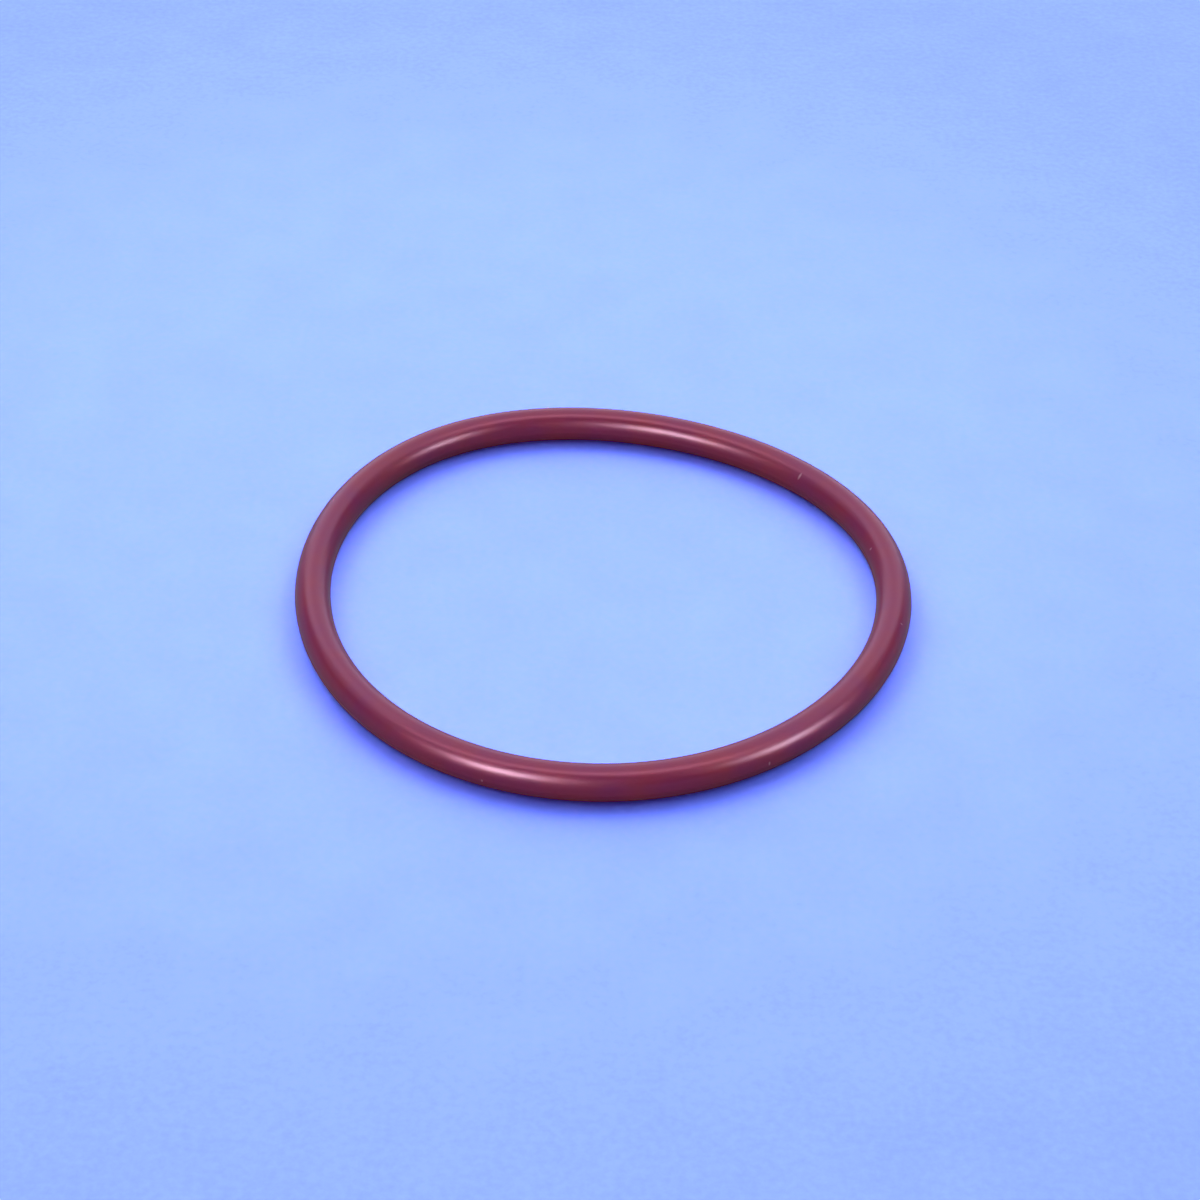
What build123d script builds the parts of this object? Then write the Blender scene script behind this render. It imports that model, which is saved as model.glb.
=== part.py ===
"""A moulded elastomer sealing ring for a torque converter, with a round section.

The ring lies flat and relaxed, with its flat plane on XY and its box centred on the origin.
Nothing holds it, so it lies a little out of round, as a soft ring does on a bench.
"""

import os
from math import cos, radians

from build123d import *

# Driving dimensions, in millimetres
inside_diameter = 54.5
section_diameter = 3.55

# How the free ring differs from a true circle. Each row is one kind of swell: how many lobes
# it has, how far each lobe stands out in millimetres, and where one lobe points, in degrees
# counterclockwise from +X. With every swell at zero the ring is a true circle.
free_shape = [
    (2, 0.12, 135),
    (3, 0.50, 11),
    (4, 0.14, 31),
]

# The centreline is this many tangent arcs, and each one turns the line by the same angle
arc_count = 24
arc_turn = 360 / arc_count

mean_radius = (inside_diameter + section_diameter) / 2


def bend_radius(direction):
    """Radius of the centreline where its outward side faces the given direction.

    A lobe bends more tightly than the circle it swells from: a swell with n lobes takes
    (n squared minus 1) times its height off the bend radius at the tip of each lobe.
    """
    radius = mean_radius
    for lobes, swell, lobe_direction in free_shape:
        radius -= (lobes**2 - 1) * swell * cos(radians(lobes * (direction - lobe_direction)))
    return radius


# The chain of arcs starts on +X, heading for +Y. It closes on itself, because swells with two
# or more lobes cancel out around the ring.
with BuildLine() as centreline:
    end = Vector(mean_radius, 0)
    heading = Vector(0, 1)
    for step in range(arc_count):
        facing = (step + 0.5) * arc_turn
        arc = JernArc(start=end, tangent=heading, radius=bend_radius(facing), arc_size=arc_turn)
        end = arc @ 1
        heading = arc % 1

ring_line = centreline.line.moved(Location(-centreline.line.bounding_box().center()))

# The ring is one moulded piece: a round section carried once around the centreline
with BuildPart() as seal_ring:
    with BuildSketch(Plane(origin=ring_line @ 0, z_dir=ring_line % 0)):
        Circle(section_diameter / 2)
    sweep(path=ring_line)

seal_ring.part.label = "seal_ring"

os.makedirs("parts", exist_ok=True)
export_step(seal_ring.part, "parts/seal_ring.step")
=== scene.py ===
"""A dark red elastomer sealing ring for a torque converter, lying relaxed on a pale blue sheet.

The visible ring follows the same chain of arcs as the solid ring that it stands for, and adds
the faint parting line that a two-part mould leaves around its inside and its outside.
"""

from math import cos, pi, radians, sin

import bmesh
import bpy
from mathutils import Matrix, Vector


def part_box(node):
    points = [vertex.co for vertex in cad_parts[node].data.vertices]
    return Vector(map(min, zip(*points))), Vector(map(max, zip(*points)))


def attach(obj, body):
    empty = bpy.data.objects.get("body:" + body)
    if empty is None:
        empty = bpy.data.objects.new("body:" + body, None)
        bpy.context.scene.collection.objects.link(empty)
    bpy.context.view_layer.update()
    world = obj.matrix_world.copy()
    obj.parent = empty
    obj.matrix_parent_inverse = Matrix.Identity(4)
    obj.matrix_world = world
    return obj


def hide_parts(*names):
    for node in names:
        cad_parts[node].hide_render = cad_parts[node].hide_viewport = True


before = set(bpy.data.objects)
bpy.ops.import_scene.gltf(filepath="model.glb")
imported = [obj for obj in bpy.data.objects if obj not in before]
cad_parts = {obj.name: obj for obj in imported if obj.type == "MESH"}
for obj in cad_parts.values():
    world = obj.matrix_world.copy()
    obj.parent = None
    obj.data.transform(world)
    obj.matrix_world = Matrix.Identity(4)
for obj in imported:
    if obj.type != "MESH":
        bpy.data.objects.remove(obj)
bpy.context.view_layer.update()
ring_low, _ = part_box("seal_ring")

MM = 0.001

# The ring, in metres
INSIDE_DIAMETER = 54.5 * MM
SECTION_DIAMETER = 3.55 * MM
SECTION_RADIUS = SECTION_DIAMETER / 2
MEAN_RADIUS = (INSIDE_DIAMETER + SECTION_DIAMETER) / 2
GROUND_HEIGHT = ring_low.z

# How the free ring differs from a true circle: lobes, how far each one stands out, and where
# one lobe points, in degrees counterclockwise from +X
FREE_SHAPE = [
    (2, 0.12 * MM, 135),
    (3, 0.50 * MM, 11),
    (4, 0.14 * MM, 31),
]
ARC_COUNT = 24

# How finely the mesh is divided, along each arc and around the section
STATIONS_PER_ARC = 30
SECTION_STEPS = 64

# The parting line is a low rounded bead at half height, inside and outside. Its mesh rows are
# given as shares of its half width.
BEAD_HEIGHT = 0.02 * MM
BEAD_HALF_WIDTH = 0.09 * MM
BEAD_ROWS = (-1, -0.5, 0, 0.5, 1)

# Specks of dust: where each lies around the ring and around the section, in degrees, and how
# far it reaches across and along the ring
DUST_SPECKS = [
    (46, 135, 0.48 * MM, 0.17 * MM),
    (13, 144, 0.22 * MM, 0.18 * MM),
    (251, -3, 0.20 * MM, 0.15 * MM),
    (303, 6, 0.24 * MM, 0.15 * MM),
    (346, 52, 0.18 * MM, 0.15 * MM),
]

# The elastomer's colours, here and below as linear red, green and blue
BRICK = (0.31, 0.027, 0.050)
PLUM = (0.245, 0.020, 0.090)
DUST = (0.55, 0.24, 0.30)
SPECULAR_PINK = (1.0, 0.78, 1.0)

# The elastomer's surface: how large its mottling and speckle are, how far each one stands up,
# and how rough the skin is, with what the speckle and the parting line add
MOTTLING_SIZE = 5.0 * MM
MOTTLING_RELIEF = 0.02 * MM
SPECKLE_SIZE = 0.25 * MM
SPECKLE_RELIEF = 0.004 * MM
SKIN_ROUGHNESS = 0.32
SPECKLE_ROUGHNESS = 0.10
PARTING_ROUGHNESS = 0.12
ELASTOMER_IOR = 1.45

# The parting line is fully rough up to the first height from the equator, and ends at the second
PARTING_FULL = 0.04 * MM
PARTING_END = 0.10 * MM

# The sheet's colours: in reflections, to the camera before shading, a painted blue glow that the camera
# sees all over the sheet and that shows in its shadows, and in the light that it returns to the ring
SHEET_BLUE = (0.50, 0.80, 1.0)
SHEET_SEEN = (0.69, 1.10, 3.9)
SHEET_PAINTED_GLOW = (0.010, 0.003, 0.075)
SHEET_CAST = (0.16, 0.23, 0.42)

# The sheet's fibre and clouding: how large each one is, and how strongly it shows
FIBRE_SIZE = 0.8 * MM
FIBRE_CONTRAST = 0.25
CLOUD_SIZE = 7.0 * MM
CLOUD_CONTRAST = 0.15

# Painted light: the sheet's colour is brightest here and darkens slowly around it, a painted fall-off of
# the lamps' light
PAINTED_LIGHT_CENTRE = Vector((-15 * MM, 25 * MM, 0))
FALL_OFF_START = 40 * MM
FALL_OFF_END = 130 * MM
FALL_OFF_TO = 0.82
SHEET_SPAN = 40.0

# The noise behind every grain. It varies around its middle, and the mask stretches it.
NOISE_DETAIL = 3.0
NOISE_ROUGHNESS = 0.55
NOISE_MIDDLE = 0.5
MASK_STRETCH = 2.5

# The lamps behind are a little warmer than the light that reaches the shadows
WHITE = (1, 1, 1)
LILAC = (1.0, 0.87, 1.06)
COOL = (0.62, 0.95, 1.25)
GLINT_RED = (1.0, 0.62, 0.66)

# Lamps in their rows: where each one stands, in degrees counterclockwise from the front and in
# degrees up, its width and height as seen from a metre away, its level, distance and colour
LAMP_DISTANCE = 3.0
GLINT_DISTANCE = 0.25
GLINTS = [
    ("left_glint", -32, 35, 0.30, 0.28, 1.15, GLINT_DISTANCE, WHITE),
    ("right_glint", 71, 33, 0.25, 0.28, 0.60, GLINT_DISTANCE, WHITE),
    ("overhead_glint", 180, 86, 1.2, 0.28, 0.70, LAMP_DISTANCE, GLINT_RED),
]
FRONT_FILL = ("front_fill", -10, 28, 0.8, 0.5, 0.40, LAMP_DISTANCE, WHITE)
BANKS = [
    ("overhead_strip", 180, 80, 1.2, 0.3, 0.06, LAMP_DISTANCE, LILAC),
    ("rear_bank", 180, 48, 1.4, 0.8, 0.48, LAMP_DISTANCE, LILAC),
    ("low_rear_bank", 180, 15, 1.4, 0.4, 0.26, LAMP_DISTANCE, LILAC),
    ("rear_left_bank", 225, 45, 0.8, 0.6, 0.11, LAMP_DISTANCE, LILAC),
    ("rear_right_bank", 135, 45, 0.8, 0.6, 0.06, LAMP_DISTANCE, LILAC),
    ("left_bank", 270, 45, 0.8, 0.6, 0.08, LAMP_DISTANCE, COOL),
    ("right_bank", 90, 45, 0.8, 0.6, 0.09, LAMP_DISTANCE, COOL),
]

# The room is dim, with a pale backdrop: how high that stands around the sheet, and how softly
# it ends, in degrees
ROOM_LEVEL = 0.03
ROOM_BLUE = (0.39, 0.565, 1.0)
BACKDROP_RISE = 10
BACKDROP_FADE = 6

# The camera looks down on the ring from the front
CAMERA_RISE = 38.0
CAMERA_ROLL = 2.0
CAMERA_DISTANCE = 0.2612
CAMERA_LENS = 79.05
CAMERA_SENSOR = 36
CAMERA_CLIP = 0.01
CAMERA_AIM = Vector((-0.35 * MM, -1.92 * MM, 0.0))


# The ring's mesh


def bend_radius(facing):
    """Radius of the centreline where its outward side faces the given direction."""
    radius = MEAN_RADIUS
    for lobes, swell, lobe_direction in FREE_SHAPE:
        radius -= (lobes**2 - 1) * swell * cos(radians(lobes * (facing - lobe_direction)))
    return radius


def centreline_stations():
    """Points along the chain of tangent arcs, each with its outward direction, in a centred box."""
    arc_turn = 360 / ARC_COUNT
    outward = Vector((1, 0, 0))
    arc_end = outward * MEAN_RADIUS
    stations = []
    for arc in range(ARC_COUNT):
        radius = bend_radius((arc + 0.5) * arc_turn)
        centre = arc_end - outward * radius
        for step in range(STATIONS_PER_ARC):
            angle = radians((arc + step / STATIONS_PER_ARC) * arc_turn)
            outward = Vector((cos(angle), sin(angle), 0))
            stations.append((centre + outward * radius, outward))
        angle = radians((arc + 1) * arc_turn)
        outward = Vector((cos(angle), sin(angle), 0))
        arc_end = centre + outward * radius
    xs = [point.x for point, _ in stations]
    ys = [point.y for point, _ in stations]
    middle = Vector((min(xs) + max(xs), min(ys) + max(ys), 0)) / 2
    return [(point - middle, outward) for point, outward in stations]


def section_outline():
    """The section's points as (outward, up), with a low bead on the inner and outer equator."""
    bead_angle = BEAD_HALF_WIDTH / SECTION_RADIUS
    angles = [2 * pi * step / SECTION_STEPS for step in range(SECTION_STEPS)]
    angles = [angle for angle in angles if abs(sin(angle)) > sin(bead_angle)]
    for equator in (0, pi):
        for share in BEAD_ROWS:
            angles.append((equator + share * bead_angle) % (2 * pi))
    outline = []
    for angle in sorted(angles):
        from_equator = abs((angle + pi / 2) % pi - pi / 2) / bead_angle
        bead = BEAD_HEIGHT * (1 + cos(pi * min(from_equator, 1))) / 2
        half_width = SECTION_RADIUS - BEAD_HEIGHT + bead
        outline.append((half_width * cos(angle), SECTION_RADIUS * sin(angle)))
    return outline


def make_ring():
    """Carries the section around the centreline as one closed skin of four-sided faces."""
    outline = section_outline()
    skin = bmesh.new()
    loops = []
    for point, outward in centreline_stations():
        places = [point + outward * out + Vector((0, 0, up)) for out, up in outline]
        loops.append([skin.verts.new(place) for place in places])
    for loop, next_loop in zip(loops, loops[1:] + loops[:1]):
        for k, corner in enumerate(loop):
            k_next = (k + 1) % len(loop)
            face = skin.faces.new((corner, next_loop[k], next_loop[k_next], loop[k_next]))
            face.smooth = True
    bmesh.ops.recalc_face_normals(skin, faces=skin.faces)
    mesh = bpy.data.meshes.new("moulded_ring")
    skin.to_mesh(mesh)
    skin.free()
    ring = bpy.data.objects.new("moulded_ring", mesh)
    bpy.context.scene.collection.objects.link(ring)
    return ring


# Shader nodes


def add_node(tree, kind, values=None, **settings):
    """A node with its settings and input values. A value that is a socket is linked instead."""
    node = tree.nodes.new(kind)
    for name, value in settings.items():
        setattr(node, name, value)
    for name, value in (values or {}).items():
        if isinstance(value, bpy.types.NodeSocket):
            tree.links.new(value, node.inputs[name])
        else:
            node.inputs[name].default_value = value
    return node


def calculate(tree, operation, first, second=0.0, third=0.0, clamp=False):
    """The result of one Math node."""
    node = add_node(tree, "ShaderNodeMath", {0: first, 1: second, 2: third}, operation=operation)
    node.use_clamp = clamp
    return node.outputs["Value"]


def measure(tree, operation, first, second=(0, 0, 0)):
    """The number that one Vector Math node works out."""
    node = add_node(tree, "ShaderNodeVectorMath", {0: first, 1: second}, operation=operation)
    return node.outputs["Value"]


def ramp(tree, value, start, end, first=1.0, last=0.0, **settings):
    """Goes from first, while the value is below start, to last, once it is past end."""
    values = {"Value": value, "From Min": start, "From Max": end, "To Min": first, "To Max": last}
    return add_node(tree, "ShaderNodeMapRange", values, **settings).outputs["Result"]


def blend_colours(tree, mask, first, second):
    """The colour from first, where the mask is 0, to second, where it is 1."""
    first_socket, second_socket, result_socket = 6, 7, 2
    values = {0: mask, first_socket: first, second_socket: second}
    return add_node(tree, "ShaderNodeMix", values, data_type="RGBA").outputs[result_socket]


def blend_shaders(tree, share, first, second):
    """The shader from first, where the share is 0, to second, where it is 1."""
    return add_node(tree, "ShaderNodeMixShader", {0: share, 1: first, 2: second}).outputs[0]


def mirrored_share(tree, ray):
    """1 for rays that come by way of a reflection or a clear material."""
    return calculate(tree, "MAXIMUM", ray["Is Glossy Ray"], ray["Is Transmission Ray"])


def start_material(name):
    """A new material, its node tree, its Principled shader and the object's own coordinates."""
    material = bpy.data.materials.new(name)
    material.use_nodes = True
    tree = material.node_tree
    shader = tree.nodes["Principled BSDF"]
    place = add_node(tree, "ShaderNodeTexCoord").outputs["Object"]
    return material, tree, shader, place


def make_grain_group():
    """Fine uneven grain: a height and a soft mask, with the grain's size in metres."""
    group = bpy.data.node_groups.new("fine_grain", "ShaderNodeTree")
    group.interface.new_socket("Place", in_out="INPUT", socket_type="NodeSocketVector")
    group.interface.new_socket("Grain Size", in_out="INPUT", socket_type="NodeSocketFloat")
    group.interface.new_socket("Height", in_out="OUTPUT", socket_type="NodeSocketFloat")
    group.interface.new_socket("Mask", in_out="OUTPUT", socket_type="NodeSocketFloat")
    inside = add_node(group, "NodeGroupInput")
    outside = add_node(group, "NodeGroupOutput")
    values = {
        "Vector": inside.outputs["Place"],
        "Scale": calculate(group, "DIVIDE", 1.0, inside.outputs["Grain Size"]),
        "Detail": NOISE_DETAIL,
        "Roughness": NOISE_ROUGHNESS,
    }
    noise = add_node(group, "ShaderNodeTexNoise", values)
    centred = calculate(group, "SUBTRACT", noise.outputs["Fac"], NOISE_MIDDLE)
    mask = calculate(group, "MULTIPLY_ADD", centred, MASK_STRETCH, NOISE_MIDDLE, clamp=True)
    group.links.new(centred, outside.inputs["Height"])
    group.links.new(mask, outside.inputs["Mask"])
    return group


def place_grain(tree, group, place, size):
    """The grain group in a material, with its grain's size in metres."""
    node = tree.nodes.new("ShaderNodeGroup")
    node.node_tree = group
    tree.links.new(place, node.inputs["Place"])
    node.inputs["Grain Size"].default_value = size
    return node


# Materials


def dust_speck(tree, place, station, around_section, reach_across, reach_along):
    """Masks one oval speck, which fades from its middle to its edge."""
    point, outward = station
    lean = radians(around_section)
    normal = outward * cos(lean) + Vector((0, 0, sin(lean)))
    along = Vector((-outward.y, outward.x, 0))
    middle = point + normal * SECTION_RADIUS
    away = add_node(tree, "ShaderNodeVectorMath", {0: place, 1: middle}, operation="SUBTRACT").outputs[0]
    slide = calculate(tree, "DIVIDE", measure(tree, "DOT_PRODUCT", away, along), reach_along)
    slide_squared = calculate(tree, "MULTIPLY", slide, slide)
    reach = calculate(tree, "DIVIDE", measure(tree, "LENGTH", away), reach_across)
    reach_squared = calculate(tree, "MULTIPLY_ADD", reach, reach, slide_squared)
    return calculate(tree, "SUBTRACT", 1.0, reach_squared, clamp=True)


def dust_mask(tree, place):
    """Masks the few specks of dust that cling to the ring."""
    stations = centreline_stations()
    total = 0.0
    for facing, around_section, reach_across, reach_along in DUST_SPECKS:
        station = stations[round(facing / 360 * len(stations)) % len(stations)]
        mask = dust_speck(tree, place, station, around_section, reach_across, reach_along)
        total = calculate(tree, "MAXIMUM", total, mask)
    return total


def elastomer_material(grain):
    """Dark red moulded elastomer with a soft sheen, fine grain and a matt parting line."""
    material, tree, shader, place = start_material("moulded_elastomer")
    mottling = place_grain(tree, grain, place, MOTTLING_SIZE)
    speckle = place_grain(tree, grain, place, SPECKLE_SIZE)
    height = add_node(tree, "ShaderNodeSeparateXYZ", {"Vector": place}).outputs["Z"]
    parting = ramp(tree, calculate(tree, "ABSOLUTE", height), PARTING_FULL, PARTING_END)

    colour = blend_colours(tree, mottling.outputs["Mask"], (*PLUM, 1), (*BRICK, 1))
    colour = blend_colours(tree, dust_mask(tree, place), colour, (*DUST, 1))

    matt = calculate(tree, "MULTIPLY_ADD", speckle.outputs["Height"], SPECKLE_ROUGHNESS, SKIN_ROUGHNESS)
    matt = calculate(tree, "MULTIPLY_ADD", parting, PARTING_ROUGHNESS, matt)

    relief = calculate(tree, "MULTIPLY", speckle.outputs["Height"], SPECKLE_RELIEF)
    relief = calculate(tree, "MULTIPLY_ADD", mottling.outputs["Height"], MOTTLING_RELIEF, relief)
    bump = add_node(tree, "ShaderNodeBump", {"Height": relief, "Strength": 1.0, "Distance": 1.0})

    tree.links.new(colour, shader.inputs["Base Color"])
    tree.links.new(matt, shader.inputs["Roughness"])
    tree.links.new(bump.outputs["Normal"], shader.inputs["Normal"])
    shader.inputs["IOR"].default_value = ELASTOMER_IOR
    shader.inputs["Specular Tint"].default_value = (*SPECULAR_PINK, 1)
    return material


def sheet_mottle_and_painted_light(tree, grain, place):
    """How bright the sheet is from place to place: its fibre and its clouding, with a painted fall-off of
    light around one bright spot.
    """
    fibre = place_grain(tree, grain, place, FIBRE_SIZE)
    cloud = place_grain(tree, grain, place, CLOUD_SIZE)
    sheet_brightness = calculate(tree, "MULTIPLY_ADD", fibre.outputs["Height"], FIBRE_CONTRAST, 1.0)
    sheet_brightness = calculate(tree, "MULTIPLY_ADD", cloud.outputs["Height"], CLOUD_CONTRAST, sheet_brightness)
    # Painted light: the sheet's colour darkens away from one bright spot
    away = measure(tree, "DISTANCE", place, PAINTED_LIGHT_CENTRE)
    painted_fall_off = ramp(
        tree,
        away,
        FALL_OFF_START,
        FALL_OFF_END,
        last=FALL_OFF_TO,
        interpolation_type="SMOOTHSTEP",
    )
    return calculate(tree, "MULTIPLY", sheet_brightness, painted_fall_off)


def sheet_material(grain):
    """Pale blue sheet. The camera sees it as a stronger blue with a faint painted blue glow, so that its
    shadows stay blue.
    """
    material, tree, shader, place = start_material("pale_blue_sheet")
    tree.nodes.remove(shader)
    # The sheet's fibre and clouding, times a painted fall-off of light
    sheet_brightness = sheet_mottle_and_painted_light(tree, grain, place)
    seen_blue = add_node(tree, "ShaderNodeVectorMath", {0: SHEET_SEEN, "Scale": sheet_brightness}, operation="SCALE")
    lit = add_node(tree, "ShaderNodeBsdfDiffuse", {"Color": seen_blue.outputs["Vector"]})
    # Painted light: a faint blue glow that only the camera sees, which keeps the sheet's shadows blue
    painted_glow = add_node(tree, "ShaderNodeEmission", {"Color": (*SHEET_PAINTED_GLOW, 1), "Strength": 1.0})
    seen = add_node(tree, "ShaderNodeAddShader", {0: lit.outputs[0], 1: painted_glow.outputs[0]})
    mirrored = add_node(tree, "ShaderNodeBsdfDiffuse", {"Color": (*SHEET_BLUE, 1)})
    cast = add_node(tree, "ShaderNodeBsdfDiffuse", {"Color": (*SHEET_CAST, 1)})
    ray = add_node(tree, "ShaderNodeLightPath").outputs
    unseen = blend_shaders(tree, mirrored_share(tree, ray), cast.outputs[0], mirrored.outputs[0])
    surface = blend_shaders(tree, ray["Is Camera Ray"], unseen, seen.outputs[0])
    tree.links.new(surface, tree.nodes["Material Output"].inputs["Surface"])
    return material


# The stage


def make_sheet(material):
    """The sheet that the ring lies on, wide enough to fill every view."""
    bpy.ops.mesh.primitive_plane_add(size=SHEET_SPAN, location=(0, 0, GROUND_HEIGHT))
    sheet = bpy.context.object
    sheet.name = "pale_sheet"
    sheet.data.materials.append(material)


def direction(around, rise):
    """Unit vector to a place on the stage: around is counterclockwise from the front."""
    a, e = radians(around), radians(rise)
    return Vector((sin(a) * cos(e), -cos(a) * cos(e), sin(e)))


def make_lamp(name, around, rise, width, height, level, distance, colour):
    """A soft rectangular lamp aimed at the ring, with its size given for one metre away.

    At level 1 it alone lights a white face turned towards it to full white.
    """
    lamp = bpy.data.lights.new(name, "AREA")
    lamp.shape = "RECTANGLE"
    lamp.size = width * distance
    lamp.size_y = height * distance
    lamp.energy = level * pi**2 * distance**2
    lamp.color = colour
    holder = bpy.data.objects.new(name, lamp)
    bpy.context.scene.collection.objects.link(holder)
    towards = direction(around, rise)
    holder.location = towards * distance
    holder.rotation_mode = "QUATERNION"
    holder.rotation_quaternion = towards.to_track_quat("Z", "Y")
    holder.visible_camera = False
    return holder


def make_lamps(ring):
    """Glints that only reflections show, a front fill that lights only the ring, and the banks."""
    for row in GLINTS:
        make_lamp(*row).visible_diffuse = False
    front_fill = make_lamp(*FRONT_FILL)
    front_fill.visible_glossy = False
    ring_only = bpy.data.collections.new("lit_by_front_fill")
    ring_only.objects.link(ring)
    front_fill.light_linking.receiver_collection = ring_only
    for row in BANKS:
        make_lamp(*row)


def backdrop_share(tree):
    """1 in the low band around the sheet where the backdrop stands, and 0 above it."""
    facing = add_node(tree, "ShaderNodeTexCoord").outputs["Generated"]
    rise = add_node(tree, "ShaderNodeSeparateXYZ", {"Vector": facing}).outputs["Z"]
    backdrop_end = BACKDROP_RISE + BACKDROP_FADE
    return ramp(tree, rise, sin(radians(BACKDROP_RISE)), sin(radians(backdrop_end)))


def make_world():
    """A dim room with a pale backdrop, which reflections see as a low band around the sheet."""
    world = bpy.data.worlds.new("studio")
    world.use_nodes = True
    tree = world.node_tree
    room = tree.nodes["Background"]
    room.inputs["Color"].default_value = (*COOL, 1)
    room.inputs["Strength"].default_value = ROOM_LEVEL
    pale = add_node(tree, "ShaderNodeBackground", {"Color": (*ROOM_BLUE, 1), "Strength": 1.0})
    ray = add_node(tree, "ShaderNodeLightPath").outputs
    mirrored = calculate(tree, "MULTIPLY", mirrored_share(tree, ray), backdrop_share(tree))
    shows = calculate(tree, "MAXIMUM", mirrored, ray["Is Camera Ray"])
    surroundings = blend_shaders(tree, shows, room.outputs[0], pale.outputs[0])
    tree.links.new(surroundings, tree.nodes["World Output"].inputs["Surface"])
    bpy.context.scene.world = world


def make_camera():
    """The camera, in front of the ring and above it, with a slight roll."""
    data = bpy.data.cameras.new("camera")
    data.sensor_width = CAMERA_SENSOR
    data.lens = CAMERA_LENS
    data.clip_start = CAMERA_CLIP
    camera = bpy.data.objects.new("camera", data)
    bpy.context.scene.collection.objects.link(camera)
    back = direction(0, CAMERA_RISE)
    roll = Matrix.Rotation(radians(CAMERA_ROLL), 3, "Z").to_quaternion()
    camera.location = CAMERA_AIM + back * CAMERA_DISTANCE
    camera.rotation_mode = "QUATERNION"
    camera.rotation_quaternion = back.to_track_quat("Z", "Y") @ roll
    bpy.context.scene.camera = camera


grain_group = make_grain_group()

ring = make_ring()
ring.data.materials.append(elastomer_material(grain_group))
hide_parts("seal_ring")
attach(ring, "root")

make_sheet(sheet_material(grain_group))
make_lamps(ring)
make_world()
make_camera()

bpy.context.scene.view_settings.view_transform = "Standard"
